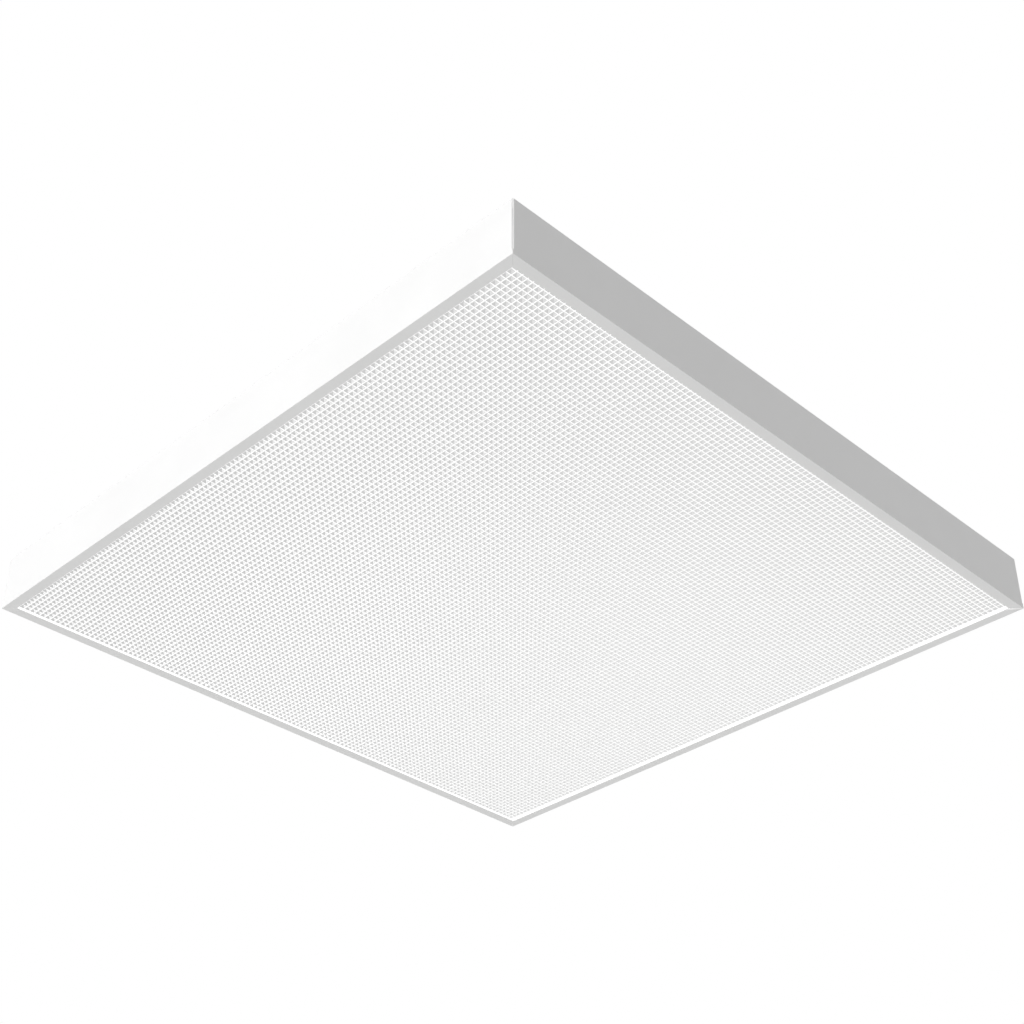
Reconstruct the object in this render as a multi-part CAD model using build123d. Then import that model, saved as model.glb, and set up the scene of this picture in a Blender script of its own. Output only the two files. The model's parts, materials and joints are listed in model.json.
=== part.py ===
from build123d import *
from math import sqrt
import os

os.makedirs("parts", exist_ok=True)

# A square recessed troffer light that lies in a suspended ceiling with a 600 mm module.
# Millimetres. The origin is the centre of the square at the bottom face of the lip. +Z points up
# into the ceiling void and the lit face looks down. Left and right are -X and +X, front and rear
# are -Y and +Y.

# ---------------------------------------------------------------- sizes: frame
overall = 595.0            # outside of the square frame
height = 48.5              # from the lip's bottom face to the top edge of the walls
wall = 1.4                 # rail wall
lip_width = 8.75           # border that shows from below, measured from the outside
lip_thickness = 1.75
flange_width = 16.0        # top flange that carries the back cover, from the outside
flange_thickness = 1.4
mitre_gap = 0.15           # hairline between two rails
open_mitre = 3.0           # gap of the open lip mitre at the right front corner, at its inner end
open_mitre_tail = 1.2      # where that gap closes, inward from the outer corner
corner_ease = 1.15         # leg of the chamfer on each upright corner
corner_ease_low = 0.4      # the same below ease_start
ease_start = 4.5
top_ease = 0.4             # chamfer along the top edge of the walls

# ---------------------------------------------------------------- sizes: corner keys
key_leg = 45.0             # from the outside of the frame
key_height = 10.0
key_thickness = 3.8
key_play = 0.1             # between key and channel, on each side
key_level = 36.0           # middle of the key above the lip's bottom face
rib_thickness = 1.2
hook_thickness = 1.0
hook_length = 1.8
set_screw_radius = 1.95
set_screw_length = 4.9
set_screw_offset = 30.0    # from the outside of the frame

# ---------------------------------------------------------------- sizes: diffuser and gasket
diffuser_thickness = 3.0   # its border is thinner, rebated to lie on the lip
diffuser_recess = 0.25     # from the lip's bottom face up to the lit face
diffuser_face_play = 0.2   # between the lit face's edge and the lip
diffuser_play = 1.1        # between the diffuser's edge and the rail walls
gasket_inset = 0.6         # from the diffuser's edge
gasket_width = 5.6
gasket_thickness = 2.0
gasket_joint = 0.3         # gap where two strips meet

# ---------------------------------------------------------------- sizes: reflector tray
tray_sheet = 0.6
tray_rim_width = 7.2
tray_depth = 18.75         # from the rim's underside to the floor's underside
tray_slope_run = 14.0      # how far the slanted sides lean inward

# ---------------------------------------------------------------- sizes: LED boards
board_count = 8
board_row_inset = 49.2     # outer rows, from the edge of the tray's floor
board_end_inset = 9.2      # board ends, from the edge of the tray's floor
board_width = 14.0
board_thickness = 1.0
leds_per_board = 16
led_length = 3.0
led_width = 2.8
led_height = 0.7
connector_length = 9.0
connector_width = 7.0
connector_height = 3.2
connector_inset = 1.0      # from the board's end
jumper_radius = 0.8
jumper_spacing = 2.4
board_rivet_radius = 1.5
board_rivet_head_radius = 3.0
board_rivet_head_height = 0.8
board_rivet_tail_radius = 2.3
board_rivet_tail_height = 1.2
rivet_play = 0.1

# ---------------------------------------------------------------- sizes: back cover
cover_sheet = 0.8
cover_edge_gap = 0.4
cover_screw_inset = 10.0   # from the outside of the frame
cover_screw_end_inset = 57.5  # outer screws of a side, from the frame's corner
cover_screws_per_side = 4
cover_screw_head_radius = 3.4
cover_screw_head_height = 1.8
cover_screw_radius = 1.6
cover_screw_reach = 5.0    # below the cover's top face
screw_play = 0.15
cross_width = 0.8
cross_depth = 0.9
bead_width = 14.0
bead_height = 1.2
beads = ((0.0, 118.0, 260.0), (0.0, 150.0, 260.0),
         (-110.0, -90.0, 170.0), (-110.0, -130.0, 170.0))  # x and y of the middle, length

# ---------------------------------------------------------------- sizes: standoffs and hangers
standoff_across_flats = 7.0
standoff_inset = 38.2      # from the edge of the tray's floor
standoff_bore_depth = 9.0
standoff_stem_radius = 1.9
gear_screw_head_radius = 3.8
gear_screw_head_height = 2.1
gear_screw_radius = 1.95
gear_screw_reach = 8.0
hanger_offset = 190.0      # hanger holes, from the middle
hanger_hole_radius = 3.25  # for an M6 hanger
hanger_plate_side = 36.0
hanger_plate_thickness = 1.5
hanger_rivet_offset = 12.0
pop_rivet_radius = 1.6
pop_rivet_head_radius = 3.2
pop_rivet_head_height = 0.9
pop_rivet_tail_radius = 2.4
pop_rivet_tail_height = 1.2

# ---------------------------------------------------------------- sizes: grid clips
clip_side_inset = 97.5     # pivot, from the outside of the left or right rail
clip_inset = 24.0          # pivot, from the outside of the front or rear rail
clip_reach = 44.0          # from the pivot to the tip
clip_width = 14.0
clip_thickness = 1.2
clip_tab_height = 3.4      # turned up at the tip as a finger grip
clip_shoulder_height = 0.4
clip_shoulder_radius = 4.5
clip_pivot_radius = 2.5
clip_head_radius = 4.5
clip_head_height = 1.0
running_play = 0.05        # radial play of everything that turns

# ---------------------------------------------------------------- sizes: wiring box
box_x = 110.0
box_y = -80.0
box_length = 160.0
box_width = 110.0
box_sheet = 0.8
box_flange = 14.0
box_lift = 1.2             # above the tray
opening_x = 12.0           # access opening, from the middle of the box
opening_y = -4.0
opening_length = 104.0
opening_width = 84.0
wall_bushing_slot = (15.0, 4.2)
wall_bushing_neck = (18.0, 6.2)
wall_bushing_flange = (20.5, 8.0)
wall_bushing_flange_thickness = 1.2

# ---------------------------------------------------------------- sizes: access lid and latch
lid_overlap = 8.0          # over the opening's edges
lid_sheet = 0.8
hinge_knuckle_radius = 1.9
hinge_pin_radius = 1.0
hinge_rise = 0.2           # between the cover and a knuckle
hinge_offset = 3.0         # pin axis, from the lid's rear edge over the opening
hinge_joint = 0.3          # between two knuckles
hinge_segments = 5
hinge_leaf_width = 18.0
leaf_rivet_offset = 42.0   # rivets of the leaf, from the lid's middle
hinge_head_radius = 1.7
hinge_head_height = 0.8
sweep_play = 0.5           # between a turning knuckle and the sheet beside it
latch_inset = 8.0          # from the opening's front edge
latch_knob_radius = 6.5
latch_knob_height = 2.4
latch_shaft_radius = 3.0
latch_cam_width = 5.0
latch_cam_reach = 13.0
latch_cam_thickness = 1.2
latch_cam_gap = 0.2        # under the cover
latch_ring_radius = 5.0
latch_ring_thickness = 0.5
latch_slot_width = 1.4
latch_slot_depth = 1.2

# ---------------------------------------------------------------- sizes: cable entry
grommet_x = -60.0          # from the middle of the box
grommet_y = -4.0
grommet_bore_radius = 4.2
grommet_neck_radius = 8.0
grommet_flange_radius = 11.0
grommet_flange_height = 2.0
clamp_from_grommet = 30.0
clamp_length = 8.0
clamp_span = 30.0
clamp_hump = 15.0
clamp_rise = 9.5
clamp_lug_thickness = 3.0
clamp_bore_radius = 4.3
small_screw_head_radius = 2.8
small_screw_head_height = 1.8
small_screw_radius = 1.5
small_screw_bite = 1.0     # into the wiring box's floor

# ---------------------------------------------------------------- sizes: terminal block
terminal_x = 15.0          # from the middle of the box
terminal_wall_gap = 19.0   # from the block to the box's rear wall
pole_count = 3
pole_pitch = 10.0
cheek = 1.6                # wall between two levers
block_depth = 20.0
block_height = 10.5
block_lug = 7.0
block_lug_height = 5.0
entry_side = 3.8           # square openings for the supply cores
entry_depth = 9.0
entry_level = 4.2          # above the box's floor
outlet_radius = 1.5
outlet_depth = 6.0
contact_width = 4.0
contact_height = 3.6
lever_length = 9.5
lever_thickness = 2.0
lever_drop = 1.9           # pivot below the block's top
lever_pivot_y = 4.0        # from the middle of the block
lever_barrel_radius = 1.6
lever_stub_radius = 0.9
lever_stub_length = 0.6
lever_side_play = 0.2
lever_tip_rise = 1.2
lever_tip_length = 1.5
lever_slot_play = 0.3

# ---------------------------------------------------------------- sizes: earth stud
earth_x = 53.0             # from the middle of the box
earth_y = -25.0
stud_radius = 2.0
stud_height = 12.0
nut_across_flats = 7.0
nut_height = 3.2
ring_radius = 4.2
ring_thickness = 0.8
ring_hole_radius = 2.15
ring_barrel_start = 5.0    # from the stud's axis
ring_barrel_length = 8.0
ring_barrel_radius = 1.9
crimp_depth = 6.0          # how deep the earth lead sits in the barrel
washer_thickness = 0.5
washer_radius = 4.4

# ---------------------------------------------------------------- sizes: driver
driver_x = -40.0
driver_length = 230.0
driver_width = 42.0
driver_drop = 20.5         # from the back cover down to the driver's bottom
driver_sheet = 0.7
driver_ear = 12.0
driver_ear_screw = 6.0     # from the driver's end
driver_rail_depth = 2.6    # side lips of the base
driver_play = 0.1
pcb_margin = 1.0
pcb_thickness = 1.2
header_length = 11.0
header_width = 18.0
header_under_lead = 2.4    # below the lead's axis
header_hole_depth = 6.0
transformer_size = (26.0, 22.0, 11.5)
transformer_at = 6.0       # along X, from the driver's middle
capacitor_radius = 5.0
capacitor_length = 22.0
capacitors_at = (-42.0, 48.0)  # along X, from the driver's middle
choke_size = (14.0, 14.0, 9.0)
choke_at = -72.0

# ---------------------------------------------------------------- sizes: leads
mains_lead_radius = 1.2
led_lead_radius = 0.9
led_lead_spacing = 2.6
lead_play = 0.3
live_bend = 12.0
led_lead_bend = 5.5
earth_bend = 8.0
earth_turn = 9.0           # how far the earth lead runs out of the block before it turns
tray_bushing_radius = 5.0
tray_bushing_bore = 3.4
tray_bushing_flange = 6.4
tray_bushing_height = 1.0
board_slot_radius = 3.0

# ---------------------------------------------------------------- places worked out
half = overall / 2
cover_under = height - cover_sheet
flange_under = cover_under - flange_thickness
diffuser_half = half - wall - diffuser_play
diffuser_face_half = half - lip_width - diffuser_face_play
diffuser_top = diffuser_recess + diffuser_thickness
rim_level = diffuser_top + gasket_thickness
gasket_outer = diffuser_half - gasket_inset
tray_mouth = gasket_outer - tray_rim_width
floor_under = rim_level + tray_depth
floor_top = floor_under + tray_sheet
floor_half = tray_mouth - tray_slope_run
board_under = floor_under - board_thickness
board_length = 2 * (floor_half - board_end_inset)
board_pitch = 2 * (floor_half - board_row_inset) / (board_count - 1)
led_pitch = board_length / leds_per_board
driver_y = board_pitch / 2  # in line with a row of boards
board_rows = [(row - (board_count - 1) / 2) * board_pitch for row in range(board_count)]
led_columns = [(column - (leds_per_board - 1) / 2) * led_pitch for column in range(leds_per_board)]
board_rivet_columns = [k * (board_length / 2 - led_pitch) for k in (-1, 0, 1)]
connector_x = -board_length / 2 + connector_inset + connector_length / 2
standoff_x = floor_half - standoff_inset
standoff_y = board_pitch * (board_count / 2 - 1)
standoff_places = [(x, y) for x in (-standoff_x, standoff_x) for y in (-standoff_y, 0, standoff_y)]
standoff_places += [(0, -standoff_y), (0, standoff_y)]
cover_half = half - wall - cover_edge_gap
cover_screw_line = half - cover_screw_inset
cover_screw_end = half - cover_screw_end_inset
cover_screw_step = 2 * cover_screw_end / (cover_screws_per_side - 1)
cover_screw_offsets = [k * cover_screw_step - cover_screw_end for k in range(cover_screws_per_side)]
clip_x = half - clip_side_inset
hanger_places = [(x, y) for x in (-hanger_offset, hanger_offset) for y in (-hanger_offset, hanger_offset)]
hanger_rivet_places = [(x + k * hanger_rivet_offset, y + k * hanger_rivet_offset)
                       for x, y in hanger_places for k in (-1, 1)]
clip_y = half - clip_inset
clip_under = height + clip_shoulder_height + running_play
box_under = floor_top + box_lift
box_floor = box_under + box_sheet
box_left = box_x - box_length / 2
box_right = box_x + box_length / 2
box_front = box_y - box_width / 2
box_rear = box_y + box_width / 2
open_left = box_x + opening_x - opening_length / 2
open_right = box_x + opening_x + opening_length / 2
open_front = box_y + opening_y - opening_width / 2
open_rear = box_y + opening_y + opening_width / 2
lid_left = open_left - lid_overlap
lid_right = open_right + lid_overlap
lid_front = open_front - lid_overlap
hinge_y = open_rear + lid_overlap + hinge_offset
hinge_z = height + hinge_rise + hinge_knuckle_radius
leaf_rear = hinge_y + hinge_leaf_width
latch_x = (open_left + open_right) / 2
latch_y = open_front + latch_inset
grommet_at = (box_x + grommet_x, box_y + grommet_y)
clamp_at = (grommet_at[0] + clamp_from_grommet, grommet_at[1])
block_x = box_x + terminal_x
block_y = box_rear - box_sheet - terminal_wall_gap - block_depth / 2
block_half = (pole_count * pole_pitch + cheek) / 2
block_top = box_floor + block_height
pole_x = [block_x + (pole - (pole_count - 1) / 2) * pole_pitch for pole in range(pole_count)]
lever_y = block_y + lever_pivot_y
lever_z = block_top - lever_drop
lead_level = box_floor + entry_level
earth_at = (box_x + earth_x, box_y + earth_y)
driver_left = driver_x - driver_length / 2
driver_right = driver_x + driver_length / 2
driver_bottom = cover_under - driver_drop
pcb_top = cover_under - driver_sheet - driver_rail_depth
pcb_under = pcb_top - pcb_thickness
driver_screw_places = [(driver_left - driver_ear_screw, driver_y),
                       (driver_right + driver_ear_screw, driver_y)]
feed_y = driver_y


# ---------------------------------------------------------------- helpers
def block(x0, x1, y0, y1, z0, z1):
    """A box between two corners."""
    return Pos((x0 + x1) / 2, (y0 + y1) / 2, (z0 + z1) / 2) * Box(x1 - x0, y1 - y0, z1 - z0)


def post(x, y, z0, z1, radius):
    """An upright cylinder between two levels."""
    return Pos(x, y, (z0 + z1) / 2) * Cylinder(radius, z1 - z0)


def rod(x0, x1, y, z, radius):
    """A cylinder along X."""
    return Pos((x0 + x1) / 2, y, z) * Rot(0, 90, 0) * Cylinder(radius, x1 - x0)


def cross_rod(x, z, y0, y1, radius):
    """A cylinder along Y."""
    return Pos(x, (y0 + y1) / 2, z) * Rot(90, 0, 0) * Cylinder(radius, y1 - y0)


def prism(points, z0, z1):
    """A straight prism over a polygon."""
    return Pos(0, 0, z0) * extrude(make_face(Polyline(*points, close=True)), z1 - z0)


def slot(x, y, length, width, z0, z1):
    """An upright prism with round ends along X."""
    return Pos(x, y, z0) * extrude(SlotOverall(length, width), z1 - z0)


def hexagon(x, y, across_flats, z0, z1):
    """An upright hexagonal prism."""
    return Pos(x, y, z0) * extrude(RegularPolygon(across_flats / sqrt(3), 6), z1 - z0)


def pan_screw(head_radius, head_height, shank_radius, reach):
    """A cross-recessed pan head screw: seat at z = 0, shank down to -reach."""
    head = post(0, 0, 0, head_height, head_radius)
    crown = head.edges().filter_by(GeomType.CIRCLE).sort_by(Axis.Z)[-1]
    head = fillet(crown, head_height / 2)
    arm = head_radius / 2
    recess = block(-arm, arm, -cross_width / 2, cross_width / 2, head_height - cross_depth, head_height)
    recess += block(-cross_width / 2, cross_width / 2, -arm, arm, head_height - cross_depth, head_height)
    return head + post(0, 0, -reach, 0, shank_radius) - recess


def pop_rivet(grip):
    """A blind rivet: head above z = 0, tail below -grip."""
    head = post(0, 0, 0, pop_rivet_head_height, pop_rivet_head_radius)
    crown = head.edges().filter_by(GeomType.CIRCLE).sort_by(Axis.Z)[-1]
    head = chamfer(crown, pop_rivet_head_height / 2)
    tail = post(0, 0, -grip - pop_rivet_tail_height, -grip, pop_rivet_tail_radius)
    return head + post(0, 0, -grip, 0, pop_rivet_radius) + tail


def lead(radius, bends, *points):
    """A round lead along straight runs joined by arcs."""
    path = FilletPolyline(*points, radius=bends)
    section = Plane(origin=path @ 0, z_dir=path % 0) * Circle(radius)
    tube = sweep(section, path=path)
    share = tube.volume / (section.area * path.length)
    print(f"lead: length {path.length:.1f}, bend radius {bends}, volume by section and length {share:.4f}")
    return tube


def save(node, *solids):
    """Write one node: a single solid or a group of separate ones."""
    shape = solids[0] if len(solids) == 1 else Compound(children=list(solids))
    export_step(shape, f"parts/{node}.step")


def at_all(places, solid, level):
    """Copies of a solid at a list of places."""
    return [Pos(x, y, level) * solid for x, y in places]


# ---------------------------------------------------------------- frame: rails
channel_depth = key_thickness + 2 * key_play
channel_half = key_height / 2 + key_play


def rail(quarter_turns, opened=False):
    """One rail, made along the front and turned about the middle of the square."""
    ribs_deep = wall + channel_depth + hook_thickness
    section = block(-half, half, -half, -half + wall, 0, height)
    section += block(-half, half, -half, -half + lip_width, 0, lip_thickness)
    section += block(-half, half, -half, -half + flange_width, flange_under, cover_under)
    for side in (-1, 1):
        near = key_level + side * channel_half
        far = near + side * rib_thickness
        tip = near - side * hook_length
        section += block(-half, half, -half, -half + ribs_deep, min(near, far), max(near, far))
        section += block(-half, half, -half + ribs_deep - hook_thickness, -half + ribs_deep,
                         min(near, tip), max(near, tip))
    section -= [post(x, -cover_screw_line, flange_under, cover_under, cover_screw_radius + running_play)
                for x in cover_screw_offsets]
    edge = mitre_gap / sqrt(2)
    inner = flange_width + wall
    section &= prism([(-half + edge, -half), (half - edge, -half), (half - edge - inner, -half + inner),
                      (-half + edge + inner, -half + inner)], 0, height)
    for side in (-1, 1):
        for leg, z0, z1 in ((corner_ease, ease_start, height), (corner_ease_low, 0, ease_start)):
            section -= prism([(side * half, -half), (side * (half - leg), -half),
                              (side * half, -half + leg)], z0, z1)
    top_edge = section.edges().filter_by(Axis.X).sort_by(Axis.Z)[-2:].sort_by(Axis.Y)[0]
    section = chamfer(top_edge, top_ease)
    if opened:
        tail = -half + open_mitre_tail
        inner_end = -half + lip_width
        section -= prism([(tail, tail), (inner_end, inner_end),
                          (inner_end + open_mitre * sqrt(2), inner_end)], 0, lip_thickness)
    return Rot(0, 0, 90 * quarter_turns) * section


save("rail_front", rail(0))
save("rail_right", rail(1, opened=True))
save("rail_rear", rail(2))
save("rail_left", rail(3))


# ---------------------------------------------------------------- frame: corner keys
def corner_key():
    """The key of the left front corner."""
    outer = -half + wall + key_play
    inner = outer + key_thickness
    low = key_level - key_height / 2
    high = key_level + key_height / 2
    key = block(outer, -half + key_leg, outer, inner, low, high)
    key += block(outer, inner, outer, -half + key_leg, low, high)
    hole = cross_rod(-half + set_screw_offset, key_level, outer, inner, set_screw_radius + running_play)
    key -= hole
    key -= mirror(hole, about=Plane(origin=(0, 0, 0), z_dir=(1, -1, 0)))
    return key


def set_screw():
    """A set screw of the left front corner's front leg: its tip bears on the rail's wall."""
    start = -half + wall
    return cross_rod(-half + set_screw_offset, key_level, start, start + set_screw_length, set_screw_radius)


one_key = corner_key()
one_screw = set_screw()
other_screw = mirror(one_screw, about=Plane(origin=(0, 0, 0), z_dir=(1, -1, 0)))
save("corner_keys", *[Rot(0, 0, 90 * turn) * one_key for turn in range(4)])
save("corner_key_screws", *[Rot(0, 0, 90 * turn) * screw for turn in range(4)
                            for screw in (one_screw, other_screw)])

# ---------------------------------------------------------------- diffuser and gasket
diffuser = block(-diffuser_half, diffuser_half, -diffuser_half, diffuser_half,
                 lip_thickness, diffuser_top)
diffuser += block(-diffuser_face_half, diffuser_face_half, -diffuser_face_half, diffuser_face_half,
                  diffuser_recess, lip_thickness)
save("diffuser_panel", diffuser)
gasket_inner = gasket_outer - gasket_width
long_strip = block(-gasket_outer, gasket_outer, -gasket_outer, -gasket_inner, diffuser_top, rim_level)
short_end = gasket_inner - gasket_joint
short_strip = block(-gasket_outer, -gasket_inner, -short_end, short_end, diffuser_top, rim_level)
save("diffuser_gaskets", long_strip, Rot(0, 0, 180) * long_strip, short_strip, Rot(0, 0, 180) * short_strip)


# ---------------------------------------------------------------- reflector tray
def frustum(low_half, low, high_half, high):
    """A square block whose sides lean."""
    lower = Pos(0, 0, low) * Rectangle(2 * low_half, 2 * low_half)
    upper = Pos(0, 0, high) * Rectangle(2 * high_half, 2 * high_half)
    return loft([lower, upper])


slope = tray_slope_run / tray_depth
tray = block(-gasket_outer, gasket_outer, -gasket_outer, gasket_outer, rim_level, rim_level + tray_sheet)
tray += frustum(tray_mouth + tray_sheet, rim_level, floor_half + tray_sheet - slope * tray_sheet, floor_top)
tray -= frustum(tray_mouth, rim_level, floor_half, floor_under)
board_rivet_places = [(x, y) for y in board_rows for x in board_rivet_columns]
rivet_hole = board_rivet_radius + rivet_play
tray -= [post(x, y, floor_under, floor_top, rivet_hole) for x, y in board_rivet_places]
tray -= [post(x, y, floor_under, floor_top, standoff_stem_radius + running_play) for x, y in standoff_places]
tray -= post(connector_x, feed_y, floor_under, floor_top, tray_bushing_radius)
save("reflector_tray", tray)

# ---------------------------------------------------------------- LED boards
connector_top = board_under
for number, y in enumerate(board_rows, start=1):
    board = block(-board_length / 2, board_length / 2, y - board_width / 2, y + board_width / 2,
                  board_under, floor_under)
    board -= [post(x, y, board_under, floor_under, rivet_hole) for x in board_rivet_columns]
    if y == feed_y:
        board -= post(connector_x, y, board_under, floor_under, board_slot_radius)
    save(f"led_board_{number}", board)
led_package = block(-led_length / 2, led_length / 2, -led_width / 2, led_width / 2, -led_height, 0)
save("led_packages", *at_all([(x, y) for y in board_rows for x in led_columns], led_package, board_under))
connector = block(-connector_length / 2, connector_length / 2, -connector_width / 2, connector_width / 2,
                  -connector_height, 0)
save("board_connectors", *at_all([(connector_x, y) for y in board_rows], connector, connector_top))
jumper_z = connector_top - connector_height / 2
jumper_run = board_pitch - connector_width
save("board_jumpers", *[Pos(connector_x + side * jumper_spacing / 2, (y0 + y1) / 2, jumper_z) * Rot(90, 0, 0)
                        * Cylinder(jumper_radius, jumper_run)
                        for y0, y1 in zip(board_rows, board_rows[1:]) for side in (-1, 1)])
board_rivet = post(0, 0, -board_rivet_head_height, 0, board_rivet_head_radius)
rivet_tail = board_thickness + tray_sheet
board_rivet += post(0, 0, 0, rivet_tail, board_rivet_radius)
board_rivet += post(0, 0, rivet_tail, rivet_tail + board_rivet_tail_height, board_rivet_tail_radius)
save("board_rivets", *at_all(board_rivet_places, board_rivet, board_under))

# ---------------------------------------------------------------- back cover
cover_screw_places = [(s, side * cover_screw_line) for s in cover_screw_offsets for side in (-1, 1)]
cover_screw_places += [(side * cover_screw_line, s) for s in cover_screw_offsets for side in (-1, 1)]
flange_middle = box_flange / 2
rear_rivet_places = [(latch_x + k * leaf_rivet_offset, box_rear + flange_middle) for k in (-1, 0, 1)]
plain_rivet_places = [(box_x + k * box_length / 3, box_front - flange_middle) for k in (-1, 0, 1)]
plain_rivet_places += [(box_left - flange_middle, box_y + k * box_width / 4) for k in (-1, 1)]
plain_rivet_places += [(box_right + flange_middle, box_y + k * box_width / 4) for k in (-1, 1)]
box_rivet_places = rear_rivet_places + plain_rivet_places
gear_screw_places = standoff_places + driver_screw_places
pop_hole = pop_rivet_radius + rivet_play

cover = block(-cover_half, cover_half, -cover_half, cover_half, cover_under, height)
for x, y, length in beads:
    cover += slot(x, y, length, bead_width, height, height + bead_height)
    cover -= slot(x, y, length - 2 * cover_sheet, bead_width - 2 * cover_sheet,
                  cover_under, cover_under + bead_height)
cover -= block(open_left, open_right, open_front, open_rear, cover_under, height)
cover -= [post(x, y, cover_under, height, cover_screw_radius + screw_play) for x, y in cover_screw_places]
cover -= [post(x, y, cover_under, height, gear_screw_radius + screw_play) for x, y in gear_screw_places]
cover -= [post(x, y, cover_under, height, pop_hole) for x, y in hanger_rivet_places + box_rivet_places]
cover -= [post(x, y, cover_under, height, hanger_hole_radius) for x, y in hanger_places]
cover -= [post(sx * clip_x, sy * clip_y, cover_under, height, clip_pivot_radius + running_play)
          for sx in (-1, 1) for sy in (-1, 1)]
cover -= post(*grommet_at, cover_under, height, grommet_neck_radius)
save("back_cover", cover)

cover_screw = pan_screw(cover_screw_head_radius, cover_screw_head_height,
                        cover_screw_radius, cover_screw_reach)
save("back_cover_screws", *at_all(cover_screw_places, cover_screw, height))


# ---------------------------------------------------------------- standoffs, hangers, rivets
standoff = hexagon(0, 0, standoff_across_flats, floor_top, cover_under)
standoff += post(0, 0, floor_under, floor_top, standoff_stem_radius)
standoff -= post(0, 0, cover_under - standoff_bore_depth, cover_under, gear_screw_radius + running_play)
save("tray_standoffs", *at_all(standoff_places, standoff, 0))
gear_screw = pan_screw(gear_screw_head_radius, gear_screw_head_height, gear_screw_radius, gear_screw_reach)
save("gear_screws", *at_all(gear_screw_places, gear_screw, height))

hanger_half = hanger_plate_side / 2
plate_under = cover_under - hanger_plate_thickness
plate = block(-hanger_half, hanger_half, -hanger_half, hanger_half, plate_under, cover_under)
plate -= post(0, 0, plate_under, cover_under, hanger_hole_radius)
plate -= [post(k * hanger_rivet_offset, k * hanger_rivet_offset, plate_under, cover_under, pop_hole)
          for k in (-1, 1)]
save("hanger_plates", *at_all(hanger_places, plate, 0))
hanger_rivet = pop_rivet(cover_sheet + hanger_plate_thickness)
box_rivet = pop_rivet(cover_sheet + box_sheet)
leaf_rivet = pop_rivet(lid_sheet + cover_sheet + box_sheet)
save("cover_rivets", *at_all(hanger_rivet_places, hanger_rivet, height),
     *at_all(plain_rivet_places, box_rivet, height),
     *at_all(rear_rivet_places, leaf_rivet, height + lid_sheet))


# ---------------------------------------------------------------- grid clips
def grid_clip():
    """A clip with its pivot at the origin, its arm along +X."""
    top = clip_under + clip_thickness
    arm = post(0, 0, clip_under, top, clip_width / 2)
    arm += block(0, clip_reach, -clip_width / 2, clip_width / 2, clip_under, top)
    arm += block(clip_reach - clip_thickness, clip_reach, -clip_width / 2, clip_width / 2,
                 top, top + clip_tab_height)
    arm -= post(0, 0, clip_under, top, clip_pivot_radius + running_play)
    return arm


clip_rivet = post(0, 0, height, height + clip_shoulder_height, clip_shoulder_radius)
clip_head_under = clip_under + clip_thickness + running_play
clip_rivet += post(0, 0, cover_under, clip_head_under, clip_pivot_radius)
clip_rivet += post(0, 0, clip_head_under, clip_head_under + clip_head_height, clip_head_radius)
clip_rivet += post(0, 0, cover_under - clip_head_height, cover_under, clip_head_radius)
save("clip_rivets", *[Pos(sx * clip_x, sy * clip_y, 0) * clip_rivet for sx in (-1, 1) for sy in (-1, 1)])
one_clip = grid_clip()
for front_name, sy in (("front", -1), ("rear", 1)):
    save(f"grid_clip_{front_name}_left", Pos(-clip_x, sy * clip_y, 0) * one_clip)
    save(f"grid_clip_{front_name}_right", Pos(clip_x, sy * clip_y, 0) * Rot(0, 0, 180) * one_clip)


# ---------------------------------------------------------------- wiring box
def rear_slot(x, z, size, y0, y1):
    """A prism with round ends along X, lying along Y."""
    return Pos(x, y1, z) * Rot(90, 0, 0) * extrude(SlotOverall(*size), y1 - y0)


bushing_x = (pole_x[0] + pole_x[1]) / 2
clamp_screw_y = (clamp_span + clamp_hump) / 4
clamp_screws = [(clamp_at[0], clamp_at[1] + side * clamp_screw_y) for side in (-1, 1)]
lug_middle = block_half + block_lug / 2
block_screws = [(block_x + side * lug_middle, block_y) for side in (-1, 1)]
screw_bore = small_screw_radius + running_play

box = block(box_left, box_right, box_front, box_rear, box_under, cover_under)
box += block(box_left - box_flange, box_right + box_flange, box_front - box_flange, box_rear + box_flange,
             cover_under - box_sheet, cover_under)
box -= block(box_left + box_sheet, box_right - box_sheet, box_front + box_sheet, box_rear - box_sheet,
             box_floor, cover_under)
box -= [post(x, y, cover_under - box_sheet, cover_under, pop_hole) for x, y in box_rivet_places]
box -= [post(x, y, box_under, box_floor, screw_bore) for x, y in clamp_screws + block_screws]
box -= rear_slot(bushing_x, lead_level, wall_bushing_neck, box_rear - box_sheet, box_rear)
save("wiring_box", box)

inside = box_rear - box_sheet
bushing_front = inside - wall_bushing_flange_thickness
bushing_rear = box_rear + wall_bushing_flange_thickness
bushing = rear_slot(bushing_x, lead_level, wall_bushing_neck, inside, box_rear)
bushing += rear_slot(bushing_x, lead_level, wall_bushing_flange, bushing_front, inside)
bushing += rear_slot(bushing_x, lead_level, wall_bushing_flange, box_rear, bushing_rear)
bushing -= rear_slot(bushing_x, lead_level, wall_bushing_slot, bushing_front, bushing_rear)
save("wall_bushing", bushing)

grommet_top = height + grommet_flange_height
grommet_under = cover_under - grommet_flange_height
grommet = post(*grommet_at, height, grommet_top, grommet_flange_radius)
grommet += post(*grommet_at, cover_under, height, grommet_neck_radius)
grommet += post(*grommet_at, grommet_under, cover_under, grommet_flange_radius)
grommet -= post(*grommet_at, grommet_under, grommet_top, grommet_bore_radius)
save("cable_grommet", grommet)

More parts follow.
